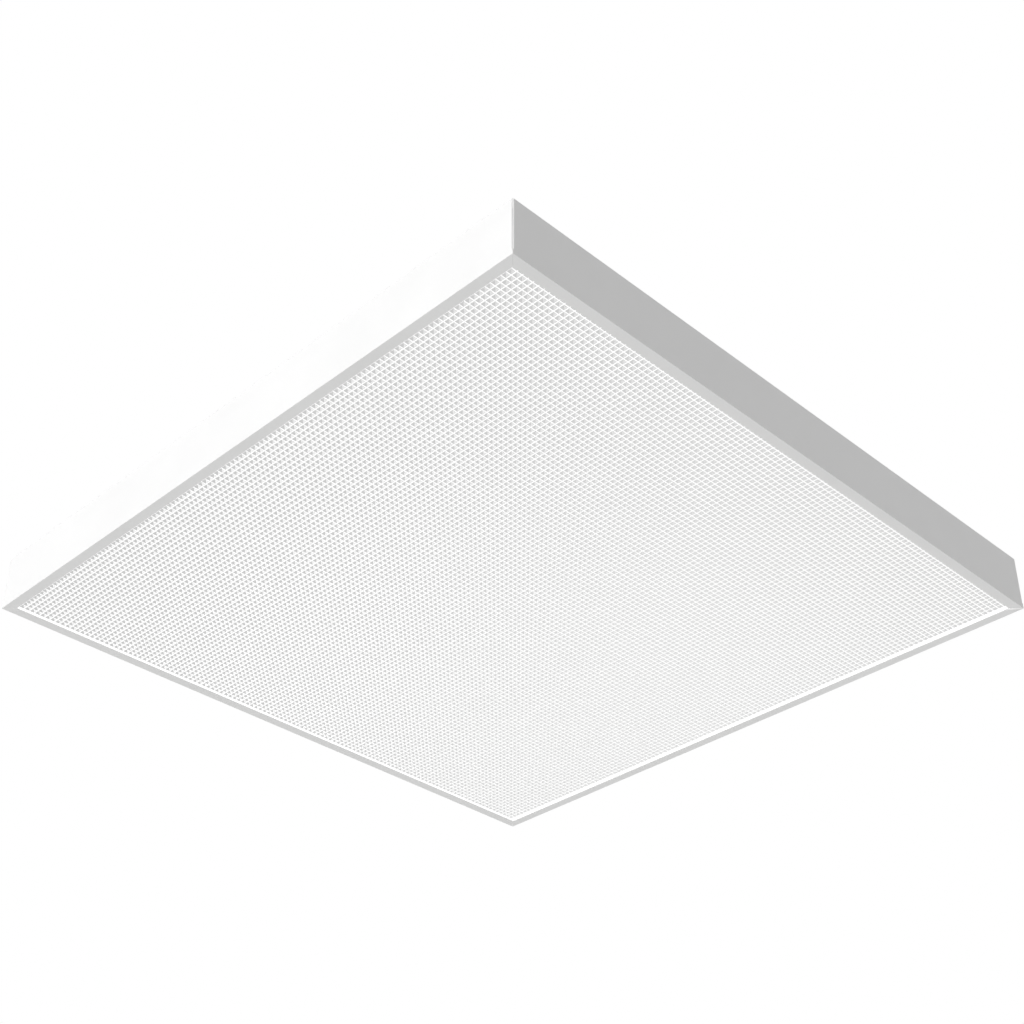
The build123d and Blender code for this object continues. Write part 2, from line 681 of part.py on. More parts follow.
clamp_x, clamp_y = clamp_at
clamp_left = clamp_x - clamp_length / 2
clamp_right = clamp_x + clamp_length / 2
clamp = block(clamp_left, clamp_right, clamp_y - clamp_hump / 2, clamp_y + clamp_hump / 2,
              box_floor, box_floor + clamp_rise)
clamp += block(clamp_left, clamp_right, clamp_y - clamp_span / 2, clamp_y + clamp_span / 2,
               box_floor, box_floor + clamp_lug_thickness)
clamp -= rod(clamp_left, clamp_right, clamp_y, box_floor + clamp_bore_radius, clamp_bore_radius)
clamp -= block(clamp_left, clamp_right, clamp_y - clamp_bore_radius, clamp_y + clamp_bore_radius,
               box_floor, box_floor + clamp_bore_radius)
clamp -= [post(x, y, box_floor, box_floor + clamp_lug_thickness, screw_bore) for x, y in clamp_screws]
save("cable_clamp", clamp)

clamp_screw = pan_screw(small_screw_head_radius, small_screw_head_height, small_screw_radius,
                        clamp_lug_thickness + small_screw_bite)
block_screw = pan_screw(small_screw_head_radius, small_screw_head_height, small_screw_radius,
                        block_lug_height + small_screw_bite)
save("wiring_box_screws", *at_all(clamp_screws, clamp_screw, box_floor + clamp_lug_thickness),
     *at_all(block_screws, block_screw, box_floor + block_lug_height))

# ---------------------------------------------------------------- terminal block
lever_half = (pole_pitch - cheek) / 2 - lever_side_play
stub_reach = lever_half + lever_stub_length
slot_floor = lever_z - lever_barrel_radius - lever_side_play
block_front = block_y - block_depth / 2
block_rear = block_y + block_depth / 2
contact_front = block_front + entry_depth
contact_rear = block_rear - outlet_depth

body = block(block_x - block_half, block_x + block_half, block_front, block_rear, box_floor, block_top)
body += block(block_x - block_half - block_lug, block_x + block_half + block_lug,
              block_y - block_lug / 2, block_y + block_lug / 2, box_floor, box_floor + block_lug_height)
body -= [post(x, y, box_floor, box_floor + block_lug_height, screw_bore) for x, y in block_screws]
contacts = []
for number, x in enumerate(pole_x, start=1):
    body -= block(x - lever_half - lever_side_play, x + lever_half + lever_side_play,
                  lever_y - lever_length - lever_slot_play, lever_y + lever_barrel_radius + lever_slot_play,
                  slot_floor, block_top)
    body -= rod(x - stub_reach - lever_side_play, x + stub_reach + lever_side_play, lever_y, lever_z,
                lever_stub_radius + running_play)
    body -= block(x - entry_side / 2, x + entry_side / 2, block_front, contact_front,
                  lead_level - entry_side / 2, lead_level + entry_side / 2)
    body -= cross_rod(x, lead_level, contact_rear, block_rear, outlet_radius)
    contact = block(x - contact_width / 2, x + contact_width / 2, contact_front, contact_rear,
                    lead_level - contact_height / 2, lead_level + contact_height / 2)
    body -= contact
    contacts.append(contact)
    plate_low = lever_z + lever_barrel_radius - lever_side_play - lever_thickness
    plate_high = plate_low + lever_thickness
    lever = block(x - lever_half, x + lever_half, lever_y - lever_length, lever_y, plate_low, plate_high)
    lever += rod(x - lever_half, x + lever_half, lever_y, lever_z, lever_barrel_radius)
    lever += rod(x - stub_reach, x + stub_reach, lever_y, lever_z, lever_stub_radius)
    lever += block(x - lever_half, x + lever_half, lever_y - lever_length,
                   lever_y - lever_length + lever_tip_length, plate_high, plate_high + lever_tip_rise)
    save(f"terminal_lever_{number}", lever)
save("terminal_block", body)
save("terminal_contacts", *contacts)

# ---------------------------------------------------------------- earth stud
stud_x, stud_y = earth_at
ring_level = box_floor + nut_height
washer_level = ring_level + ring_thickness
upper_nut_level = washer_level + washer_thickness
save("earth_stud", post(stud_x, stud_y, box_floor, box_floor + stud_height, stud_radius))
washer = post(stud_x, stud_y, washer_level, upper_nut_level, washer_radius)
lower_nut = hexagon(stud_x, stud_y, nut_across_flats, box_floor, ring_level)
upper_nut = hexagon(stud_x, stud_y, nut_across_flats, upper_nut_level, upper_nut_level + nut_height)
stud_hole = post(stud_x, stud_y, box_floor, box_floor + stud_height, stud_radius + running_play)
save("earth_nuts", lower_nut - stud_hole, upper_nut - stud_hole, washer - stud_hole)
barrel_front = stud_y + ring_barrel_start
barrel_rear = barrel_front + ring_barrel_length
ring = post(stud_x, stud_y, ring_level, washer_level, ring_radius)
ring += block(stud_x - ring_barrel_radius, stud_x + ring_barrel_radius,
              stud_y, barrel_front + ring_thickness, ring_level, washer_level)
ring += cross_rod(stud_x, lead_level, barrel_front, barrel_rear, ring_barrel_radius)
ring -= post(stud_x, stud_y, ring_level, washer_level, ring_hole_radius)
ring -= cross_rod(stud_x, lead_level, barrel_rear - crimp_depth, barrel_rear,
                  mains_lead_radius + running_play)
save("ring_terminal", ring)

# ---------------------------------------------------------------- driver
driver_front = driver_y - driver_width / 2
driver_rear = driver_y + driver_width / 2
wall_inside = driver_width / 2 - driver_sheet - driver_play
base_under = cover_under - driver_sheet
base = block(driver_left - driver_ear, driver_right + driver_ear, driver_front, driver_rear,
             base_under, cover_under)
for side in (-1, 1):
    y0 = driver_y + side * wall_inside
    y1 = driver_y + side * (wall_inside - driver_sheet)
    base += block(driver_left + driver_sheet + driver_play, driver_right - driver_sheet - driver_play,
                  min(y0, y1), max(y0, y1), pcb_top, base_under)
base -= [post(x, y, base_under, cover_under, gear_screw_radius + running_play)
         for x, y in driver_screw_places]
save("driver_base", base)

pcb_left = driver_left + driver_sheet + pcb_margin
pcb_right = driver_right - driver_sheet - pcb_margin
live_y = driver_y - pole_pitch / 2
neutral_y = driver_y + pole_pitch / 2
led_lead_y = (feed_y - led_lead_spacing / 2, feed_y + led_lead_spacing / 2)
shell = block(driver_left, driver_right, driver_front, driver_rear, driver_bottom, base_under)
shell -= block(driver_left + driver_sheet, driver_right - driver_sheet, driver_front + driver_sheet,
               driver_rear - driver_sheet, driver_bottom + driver_sheet, base_under)
shell -= [rod(driver_right - driver_sheet, driver_right, y, lead_level, mains_lead_radius + lead_play)
          for y in (live_y, neutral_y)]
shell -= [rod(driver_left, driver_left + driver_sheet, y, lead_level, led_lead_radius + lead_play)
          for y in led_lead_y]
save("driver_cover", shell)
save("driver_board", block(pcb_left, pcb_right, driver_y - wall_inside, driver_y + wall_inside,
                           pcb_under, pcb_top))

header_low = lead_level - header_under_lead
header_front = driver_y - header_width / 2
header_rear = driver_y + header_width / 2
mains_hole = pcb_right - header_hole_depth
led_hole = pcb_left + header_hole_depth
mains_header = block(pcb_right - header_length, pcb_right, header_front, header_rear, header_low, pcb_under)
mains_header -= [rod(mains_hole, pcb_right, y, lead_level, mains_lead_radius + running_play)
                 for y in (live_y, neutral_y)]
led_header = block(pcb_left, pcb_left + header_length, header_front, header_rear, header_low, pcb_under)
led_header -= [rod(pcb_left, led_hole, y, lead_level, led_lead_radius + running_play) for y in led_lead_y]


def hung(x, size):
    """A block-shaped component under the driver's board."""
    length, width, depth = size
    return block(x - length / 2, x + length / 2, driver_y - width / 2, driver_y + width / 2,
                 pcb_under - depth, pcb_under)


capacitors = [rod(driver_x + at - capacitor_length / 2, driver_x + at + capacitor_length / 2, driver_y,
                  pcb_under - capacitor_radius, capacitor_radius) for at in capacitors_at]
save("driver_components", mains_header, led_header, hung(driver_x + transformer_at, transformer_size),
     hung(driver_x + choke_at, choke_size), *capacitors)

# ---------------------------------------------------------------- leads held all the way
lead_start = contact_rear + lead_play
mains_end = mains_hole + lead_play
save("live_lead", lead(mains_lead_radius, live_bend, (pole_x[0], lead_start, lead_level),
                       (pole_x[0], live_y, lead_level), (mains_end, live_y, lead_level)))
save("neutral_lead", lead(mains_lead_radius, live_bend + pole_pitch, (pole_x[1], lead_start, lead_level),
                          (pole_x[1], neutral_y, lead_level), (mains_end, neutral_y, lead_level)))
earth_turn_y = block_rear + earth_turn
earth_end = barrel_rear - crimp_depth + lead_play
save("earth_lead", lead(mains_lead_radius, earth_bend, (pole_x[2], lead_start, lead_level),
                        (pole_x[2], earth_turn_y, lead_level), (stud_x, earth_turn_y, lead_level),
                        (stud_x, earth_end, lead_level)))
led_start = led_hole - lead_play
for node, y in zip(("led_lead_positive", "led_lead_negative"), led_lead_y):
    save(node, lead(led_lead_radius, led_lead_bend, (led_start, y, lead_level), (connector_x, y, lead_level),
                    (connector_x, y, connector_top)))
bushing_top = floor_top + tray_bushing_height
tray_bushing = post(connector_x, feed_y, floor_top, bushing_top, tray_bushing_flange)
tray_bushing += post(connector_x, feed_y, floor_under, floor_top, tray_bushing_radius)
tray_bushing -= post(connector_x, feed_y, floor_under, bushing_top, tray_bushing_bore)
save("tray_bushing", tray_bushing)

# ---------------------------------------------------------------- access lid
segment = (lid_right - lid_left) / hinge_segments
swept = hinge_knuckle_radius + sweep_play
pin_bore = hinge_pin_radius + running_play


def knuckle(index):
    """One knuckle of the hinge."""
    start = lid_left + index * segment
    end = start + segment
    return rod(start + hinge_joint / 2, end - hinge_joint / 2, hinge_y, hinge_z, hinge_knuckle_radius)


lid = block(lid_left, lid_right, lid_front, hinge_y, height, height + lid_sheet)
leaf = block(lid_left, lid_right, hinge_y, leaf_rear, height, height + lid_sheet)
for index in range(hinge_segments):
    start = lid_left + index * segment - hinge_joint / 2
    end = start + segment + hinge_joint
    if index % 2:
        leaf -= block(start, end, hinge_y, hinge_y + swept, height, height + lid_sheet)
    else:
        lid -= block(start, end, hinge_y - swept, hinge_y, height, height + lid_sheet)
for index in range(hinge_segments):
    if index % 2:
        lid += knuckle(index)
    else:
        leaf += knuckle(index)
pin_hole = rod(lid_left, lid_right, hinge_y, hinge_z, pin_bore)
lid -= pin_hole
leaf -= pin_hole
lid -= post(latch_x, latch_y, height, height + lid_sheet, latch_shaft_radius + running_play)
leaf -= [post(x, y, height, height + lid_sheet, pop_hole) for x, y in rear_rivet_places]
save("access_lid", lid)
save("lid_hinge_leaf", leaf)
pin = rod(lid_left, lid_right, hinge_y, hinge_z, hinge_pin_radius)
pin += rod(lid_left - hinge_head_height, lid_left, hinge_y, hinge_z, hinge_head_radius)
pin += rod(lid_right, lid_right + hinge_head_height, hinge_y, hinge_z, hinge_head_radius)
save("lid_hinge_pin", pin)

# ---------------------------------------------------------------- latch
knob_under = height + lid_sheet
knob_top = knob_under + latch_knob_height
cam_top = cover_under - latch_cam_gap
cam_under = cam_top - latch_cam_thickness
knob = post(latch_x, latch_y, knob_under, knob_top, latch_knob_radius)
rim = knob.edges().filter_by(GeomType.CIRCLE).sort_by(Axis.Z)[-1]
knob = chamfer(rim, latch_slot_depth / 2)
knob += post(latch_x, latch_y, cam_under, knob_under, latch_shaft_radius)
knob += block(latch_x - latch_cam_width / 2, latch_x + latch_cam_reach, latch_y - latch_cam_width / 2,
              latch_y + latch_cam_width / 2, cam_under, cam_top)
knob -= block(latch_x - latch_knob_radius, latch_x + latch_knob_radius, latch_y - latch_slot_width / 2,
              latch_y + latch_slot_width / 2, knob_top - latch_slot_depth, knob_top)
latch_ring = post(latch_x, latch_y, height - latch_ring_thickness, height, latch_ring_radius)
latch_ring -= post(latch_x, latch_y, height - latch_ring_thickness, height, latch_shaft_radius)
save("lid_latch", knob, latch_ring)
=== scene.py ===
import bpy
import json
from math import pi, radians
from mathutils import Matrix, Vector


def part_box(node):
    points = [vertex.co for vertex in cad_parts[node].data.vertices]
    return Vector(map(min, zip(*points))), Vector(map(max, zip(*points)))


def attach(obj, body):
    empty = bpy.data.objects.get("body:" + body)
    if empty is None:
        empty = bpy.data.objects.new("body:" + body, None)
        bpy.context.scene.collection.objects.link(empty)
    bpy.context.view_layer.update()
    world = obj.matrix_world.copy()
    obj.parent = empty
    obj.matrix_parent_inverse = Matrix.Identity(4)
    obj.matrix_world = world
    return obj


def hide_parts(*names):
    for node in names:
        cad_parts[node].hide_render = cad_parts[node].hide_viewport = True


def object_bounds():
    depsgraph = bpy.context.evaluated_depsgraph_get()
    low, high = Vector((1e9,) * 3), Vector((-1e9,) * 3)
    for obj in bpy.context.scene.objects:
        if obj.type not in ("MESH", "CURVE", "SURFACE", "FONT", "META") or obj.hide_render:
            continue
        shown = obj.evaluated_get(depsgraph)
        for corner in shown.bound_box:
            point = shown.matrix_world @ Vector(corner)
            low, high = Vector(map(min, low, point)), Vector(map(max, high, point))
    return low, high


# A square recessed troffer light, seen from below and from one corner, as it hangs in a ceiling.
# Metres. Lengths that are written in millimetres go through mm().

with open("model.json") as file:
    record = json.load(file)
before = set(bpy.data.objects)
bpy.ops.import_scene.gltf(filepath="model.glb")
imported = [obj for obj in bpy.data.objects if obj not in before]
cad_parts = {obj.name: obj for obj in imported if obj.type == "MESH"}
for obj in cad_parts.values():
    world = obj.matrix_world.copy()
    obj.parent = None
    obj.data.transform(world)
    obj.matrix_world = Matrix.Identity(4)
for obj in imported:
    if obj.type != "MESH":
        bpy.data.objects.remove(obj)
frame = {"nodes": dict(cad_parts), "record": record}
cad_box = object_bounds()
scene = bpy.context.scene


def mm(length):
    """Millimetres to metres."""
    return length / 1000


def per(size):
    """Texture scale that makes one grain of a pattern this many millimetres."""
    return 1000 / size


def linear(hex_colour):
    """An sRGB hex colour as the linear values that a socket takes."""
    parts = [int(hex_colour[place:place + 2], 16) / 255 for place in (1, 3, 5)]
    return tuple(part / 12.92 if part <= 0.04045 else ((part + 0.055) / 1.055) ** 2.4
                 for part in parts) + (1.0,)


def square(half, level):
    """Corners of a square round the middle of the light, at one level."""
    return [(-half, -half, level), (half, -half, level), (half, half, level), (-half, half, level)]


def drive(tree, driven, feeds):
    """Links sockets of a node. Feeds name each socket, and the node and the output that drive it."""
    for name, (source, output) in feeds.items():
        tree.links.new(source.outputs[output], driven.inputs[name])


def node(tree, kind, settings=None, feeds=None):
    """Adds one node. Settings name its sockets or its own values, feeds name sockets and what drives them."""
    made = tree.nodes.new(kind)
    for name, value in (settings or {}).items():
        if name == "stops":
            stops = made.color_ramp.elements
            while len(stops) < len(value):
                stops.new(1.0)
            for stop, (place, colour) in zip(stops, value):
                stop.position = place
                stop.color = colour
        elif isinstance(name, int) or name in made.inputs:
            made.inputs[name].default_value = value
        else:
            setattr(made, name, value)
    drive(tree, made, feeds or {})
    return made


WHITE = linear("#FFFFFF")

# ------------------------------------------------------------------ camera
CAMERA_PLACE = Vector((-0.88426, -0.88426, -0.77884))
CAMERA_AIM = Vector((0.59205, 0.59205, 0.54679))
CAMERA_SENSOR = 36         # mm, as is the lens
CAMERA_LENS = 62.91
CAMERA_SHIFT = (-0.00074, 0.0566)
CAMERA_NEAR = 10           # mm, where the camera starts to see


def add_camera():
    """The photograph's camera: below the light, off its left front corner, looking up."""
    sight = bpy.data.objects.new("camera", bpy.data.cameras.new("camera"))
    scene.collection.objects.link(sight)
    ahead = CAMERA_AIM.normalized()
    right = ahead.cross(Vector((0, 0, 1))).normalized()
    above = right.cross(ahead)
    turn = Matrix((right, above, -ahead)).transposed().to_4x4()
    sight.matrix_world = Matrix.Translation(CAMERA_PLACE) @ turn
    sight.data.lens = CAMERA_LENS
    sight.data.sensor_width = CAMERA_SENSOR
    sight.data.shift_x, sight.data.shift_y = CAMERA_SHIFT
    sight.data.clip_start = mm(CAMERA_NEAR)
    sight.data.dof.use_dof = False
    scene.camera = sight


# ------------------------------------------------------------------ light and room
ROOM_LIGHT = 0.52          # even light from all round
# Each lamp: which way its light runs, as long as it is strong, its width in degrees, and whether it casts
# shadows. The first three cast none, because the lip, the walls and the floor would keep their light from
# the dimples.
LAMPS = {
    "side_lamp": ((0.62, 0.0, 0.0), 12, False),          # near-white left wall beside a grey front wall
    "low_lamp": ((0.082, -0.185, 0.147), 15, False),     # weak, up into the dimples
    "far_lamp": ((-0.09, 0.036, 0.07), 15, False),       # weaker still, from the other side
    "top_lamp": ((-0.38, -0.12, -0.36), 25, True),       # down onto the back
}
FLOOR_DROP = 2.4           # floor below the ceiling
FLOOR_HALF = 6.0
FLOOR_FADE = (4.0, 6.3)    # from the middle of the light, where the floor starts and ends turning white
FLOOR_SHOWN = "#F4F4F2"    # the floor's tone for the camera


def add_world():
    """Even room light, and a white surround for the camera, for reflections and through clear things."""
    world = bpy.data.worlds.new("white_room")
    scene.world = world
    world.use_nodes = True
    tree = world.node_tree
    tree.nodes.clear()
    ray = node(tree, "ShaderNodeLightPath")
    seen = node(tree, "ShaderNodeMath", {"operation": "MAXIMUM"},
                {0: (ray, "Is Camera Ray"), 1: (ray, "Is Glossy Ray")})
    shown = node(tree, "ShaderNodeMath", {"operation": "MAXIMUM"},
                 {0: (seen, 0), 1: (ray, "Is Transmission Ray")})
    strength = node(tree, "ShaderNodeMapRange", {"To Min": ROOM_LIGHT, "To Max": 1.0}, {"Value": (shown, 0)})
    light = node(tree, "ShaderNodeBackground", {"Color": WHITE}, {"Strength": (strength, 0)})
    node(tree, "ShaderNodeOutputWorld", feeds={"Surface": (light, 0)})


def add_lamp(name, runs, softness, shadow):
    """A far soft lamp. The length of the direction is its strength on a white surface that faces it."""
    way = Vector(runs)
    lamp = bpy.data.objects.new(name, bpy.data.lights.new(name, "SUN"))
    scene.collection.objects.link(lamp)
    lamp.rotation_euler = way.to_track_quat("-Z", "Y").to_euler()
    lamp.data.energy = way.length * pi
    lamp.data.angle = radians(softness)
    lamp.data.use_shadow = shadow


def add_floor():
    """A pale floor far below the light."""
    mesh = bpy.data.meshes.new("pale_floor")
    mesh.from_pydata(square(FLOOR_HALF, -FLOOR_DROP), [], [(0, 1, 2, 3)])
    floor = bpy.data.objects.new("pale_floor", mesh)
    scene.collection.objects.link(floor)
    mesh.materials.append(pale_screed())


# ------------------------------------------------------------------ finishes
COAT_SHEEN = 0.05          # how far a coat's roughness varies, either way
ROLLED_SHEEN = (-0.08, 0.10)   # how far rolling lines change a plated sheet's roughness
ROLLED_DEPTH = 0.01        # mm, depth of those lines
SPANGLE_SIZE = 9           # mm across a zinc crystal
SPANGLE_ROUGHNESS = (0.34, 0.52)
FROST_SIZE = 1.2           # mm, the fine relief on the crystals
FROST_DEPTH = 0.02
STRIPE_EDGE = (0.74, 0.78)     # how far upright a surface of the earth lead is where its stripe starts
LEAD_GRAIN = 2.0           # mm, the slight waves along extruded PVC insulation
LEAD_DEPTH = 0.02
ACRYLIC_IOR = 1.49
HAZE_SIZE = 40             # mm across a cloud in the panel's painted glow
HAZE_SPREAD = 0.02         # share of the painted glow that a cloud adds or takes
MIX_FIRST, MIX_SECOND, MIX_RESULT = 6, 7, 2    # the colour sockets of a mix node


def start_material(name, colour, roughness, **settings):
    """A material with its main shader and the part's own coordinates."""
    finish = bpy.data.materials.new(name)
    finish.use_nodes = True
    tree = finish.node_tree
    tree.nodes.clear()
    values = {"Base Color": linear(colour), "Roughness": roughness}
    values.update({key.replace("_", " "): value for key, value in settings.items()})
    shader = node(tree, "ShaderNodeBsdfPrincipled", values)
    node(tree, "ShaderNodeOutputMaterial", feeds={"Surface": (shader, "BSDF")})
    place = node(tree, "ShaderNodeTexCoord")
    return finish, tree, shader, place


def coated(name, colour, shade, patch, roughness, grain, depth, **settings):
    """A coated, moulded or extruded surface: two close tones in patches, and a fine relief. Patch, grain and
    depth are in mm."""
    finish, tree, shader, place = start_material(name, colour, roughness, **settings)
    patches = node(tree, "ShaderNodeTexNoise", {"Scale": per(patch), "Detail": 2.0},
                   {"Vector": (place, "Object")})
    tone = node(tree, "ShaderNodeValToRGB", {"stops": [(0.35, linear(shade)), (0.65, linear(colour))]},
                {"Fac": (patches, "Fac")})
    rub = node(tree, "ShaderNodeMapRange", {"To Min": roughness - COAT_SHEEN,
                                            "To Max": roughness + COAT_SHEEN}, {"Value": (patches, "Fac")})
    relief = node(tree, "ShaderNodeTexNoise", {"Scale": per(grain), "Detail": 2.0},
                  {"Vector": (place, "Object")})
    bump = node(tree, "ShaderNodeBump", {"Strength": 1.0, "Distance": mm(depth)}, {"Height": (relief, "Fac")})
    drive(tree, shader, {"Base Color": (tone, "Color"), "Roughness": (rub, "Result"),
                         "Normal": (bump, "Normal")})
    return finish


def plated(name, colour, shade, patch, roughness, line, stretch):
    """Zinc or tin plating on steel or copper: cloudy tones, and the rolling lines of the sheet under it.
    Patch and line are in mm."""
    finish, tree, shader, place = start_material(name, colour, roughness, Metallic=1.0)
    clouds = node(tree, "ShaderNodeTexNoise", {"Scale": per(patch), "Detail": 4.0},
                  {"Vector": (place, "Object")})
    tone = node(tree, "ShaderNodeValToRGB", {"stops": [(0.3, linear(shade)), (0.7, linear(colour))]},
                {"Fac": (clouds, "Fac")})
    drawn = node(tree, "ShaderNodeMapping", {"Scale": stretch}, {"Vector": (place, "Object")})
    lines = node(tree, "ShaderNodeTexNoise", {"Scale": per(line), "Detail": 3.0},
                 {"Vector": (drawn, "Vector")})
    rub = node(tree, "ShaderNodeMapRange", {"To Min": roughness + ROLLED_SHEEN[0],
                                            "To Max": roughness + ROLLED_SHEEN[1]}, {"Value": (lines, "Fac")})
    bump = node(tree, "ShaderNodeBump", {"Strength": 0.6, "Distance": mm(ROLLED_DEPTH)},
                {"Height": (lines, "Fac")})
    drive(tree, shader, {"Base Color": (tone, "Color"), "Roughness": (rub, "Result"),
                         "Normal": (bump, "Normal")})
    return finish


def pale_screed():
    """The floor: cement screed, pale to the camera, and a little darker in the light that it sends back up.
    Towards its rim it fades into the white surround, so that no edge shows behind the light."""
    finish = coated("screed_pale_trowelled", "#CDCDCC", "#CACAC9",
                    patch=300, roughness=0.8, grain=4, depth=0.05)
    tree = finish.node_tree
    shader = next(part for part in tree.nodes if part.type == "BSDF_PRINCIPLED")
    tone = shader.inputs["Base Color"].links[0].from_node
    ray = node(tree, "ShaderNodeLightPath")
    seen = node(tree, "ShaderNodeMix", {"data_type": "RGBA", MIX_SECOND: linear(FLOOR_SHOWN)},
                {0: (ray, "Is Camera Ray"), MIX_FIRST: (tone, "Color")})
    drive(tree, shader, {"Base Color": (seen, MIX_RESULT)})
    place = next(part for part in tree.nodes if part.type == "TEX_COORD")
    reach = node(tree, "ShaderNodeVectorMath", {"operation": "LENGTH"}, {0: (place, "Object")})
    fade = node(tree, "ShaderNodeMapRange", {"interpolation_type": "SMOOTHSTEP", "From Min": FLOOR_FADE[0],
                                             "From Max": FLOOR_FADE[1]}, {"Value": (reach, "Value")})
    gone = node(tree, "ShaderNodeMath", {"operation": "MULTIPLY"}, {0: (fade, 0), 1: (ray, "Is Camera Ray")})
    white = node(tree, "ShaderNodeEmission", {"Color": WHITE, "Strength": 1.0})
    both = node(tree, "ShaderNodeMixShader",
                feeds={0: (gone, 0), 1: (shader, "BSDF"), 2: (white, "Emission")})
    ending = next(part for part in tree.nodes if part.type == "OUTPUT_MATERIAL")
    drive(tree, ending, {"Surface": (both, 0)})
    return finish


def galvanised_spangle():
    """Hot-dip galvanised sheet: zinc crystals, each turned its own way, so some read lighter and shinier than
    the ones beside them."""
    finish, tree, shader, place = start_material("galvanised_sheet_hot_dipped", "#C9CDD0", 0.42, Metallic=1.0)
    crystals = node(tree, "ShaderNodeTexVoronoi", {"Scale": per(SPANGLE_SIZE), "Randomness": 1.0},
                    {"Vector": (place, "Object")})
    each = node(tree, "ShaderNodeSeparateColor", feeds={"Color": (crystals, "Color")})
    tone = node(tree, "ShaderNodeValToRGB", {"stops": [(0.0, linear("#B4B9BD")), (1.0, linear("#D6D9DB"))]},
                {"Fac": (each, "Red")})
    rub = node(tree, "ShaderNodeMapRange", {"To Min": SPANGLE_ROUGHNESS[0], "To Max": SPANGLE_ROUGHNESS[1]},
               {"Value": (each, "Green")})
    frost = node(tree, "ShaderNodeTexNoise", {"Scale": per(FROST_SIZE), "Detail": 3.0},
                 {"Vector": (place, "Object")})
    bump = node(tree, "ShaderNodeBump", {"Strength": 0.5, "Distance": mm(FROST_DEPTH)},
                {"Height": (frost, "Fac")})
    drive(tree, shader, {"Base Color": (tone, "Color"), "Roughness": (rub, "Result"),
                         "Normal": (bump, "Normal")})
    return finish


def earth_insulation():
    """PVC insulation of the earth lead: green with a yellow stripe along its top and bottom."""
    finish, tree, shader, place = start_material("pvc_extruded_green_yellow", "#3E8E2F", 0.38)
    way = node(tree, "ShaderNodeSeparateXYZ", feeds={0: (place, "Normal")})
    upright = node(tree, "ShaderNodeMath", {"operation": "ABSOLUTE"}, {0: (way, "Z")})
    stripe = node(tree, "ShaderNodeValToRGB", {"stops": [(STRIPE_EDGE[0], linear("#2F8A34")),
                                                         (STRIPE_EDGE[1], linear("#E6C820"))]},
                  {"Fac": (upright, 0)})
    relief = node(tree, "ShaderNodeTexNoise", {"Scale": per(LEAD_GRAIN), "Detail": 2.0},
                  {"Vector": (place, "Object")})
    bump = node(tree, "ShaderNodeBump", {"Strength": 1.0, "Distance": mm(LEAD_DEPTH)},
                {"Height": (relief, "Fac")})
    drive(tree, shader, {"Base Color": (stripe, "Color"), "Normal": (bump, "Normal")})
    return finish


def insulation(colour_name, colour, shade):
    """PVC insulation of a plain lead, extruded: smooth, with a soft sheen and slight waves along it."""
    return coated(f"pvc_extruded_{colour_name}", colour, shade,
                  patch=9, roughness=0.38, grain=LEAD_GRAIN, depth=LEAD_DEPTH)


def acrylic_with_painted_glow(name, colour, glow, roughness):
    """Opal PMMA, its glow painted in for the boards' light behind it: it glows almost evenly, and its face
    has a satin sheen.
    """
    finish, tree, shader, place = start_material(name, colour, roughness, IOR=ACRYLIC_IOR,
                                                 Specular_IOR_Level=1.0, Coat_Weight=1.0,
                                                 Coat_Roughness=roughness)
    haze = node(tree, "ShaderNodeTexNoise", {"Scale": per(HAZE_SIZE), "Detail": 1.0},
                {"Vector": (place, "Object")})
    # Painted glow: an emission strength, varied a little by the haze.
    light = node(tree, "ShaderNodeMapRange", {"To Min": glow * (1 - HAZE_SPREAD),
                                              "To Max": glow * (1 + HAZE_SPREAD)}, {"Value": (haze, "Fac")})
    shader.inputs["Emission Color"].default_value = WHITE
    drive(tree, shader, {"Emission Strength": (light, "Result")})
    return finish


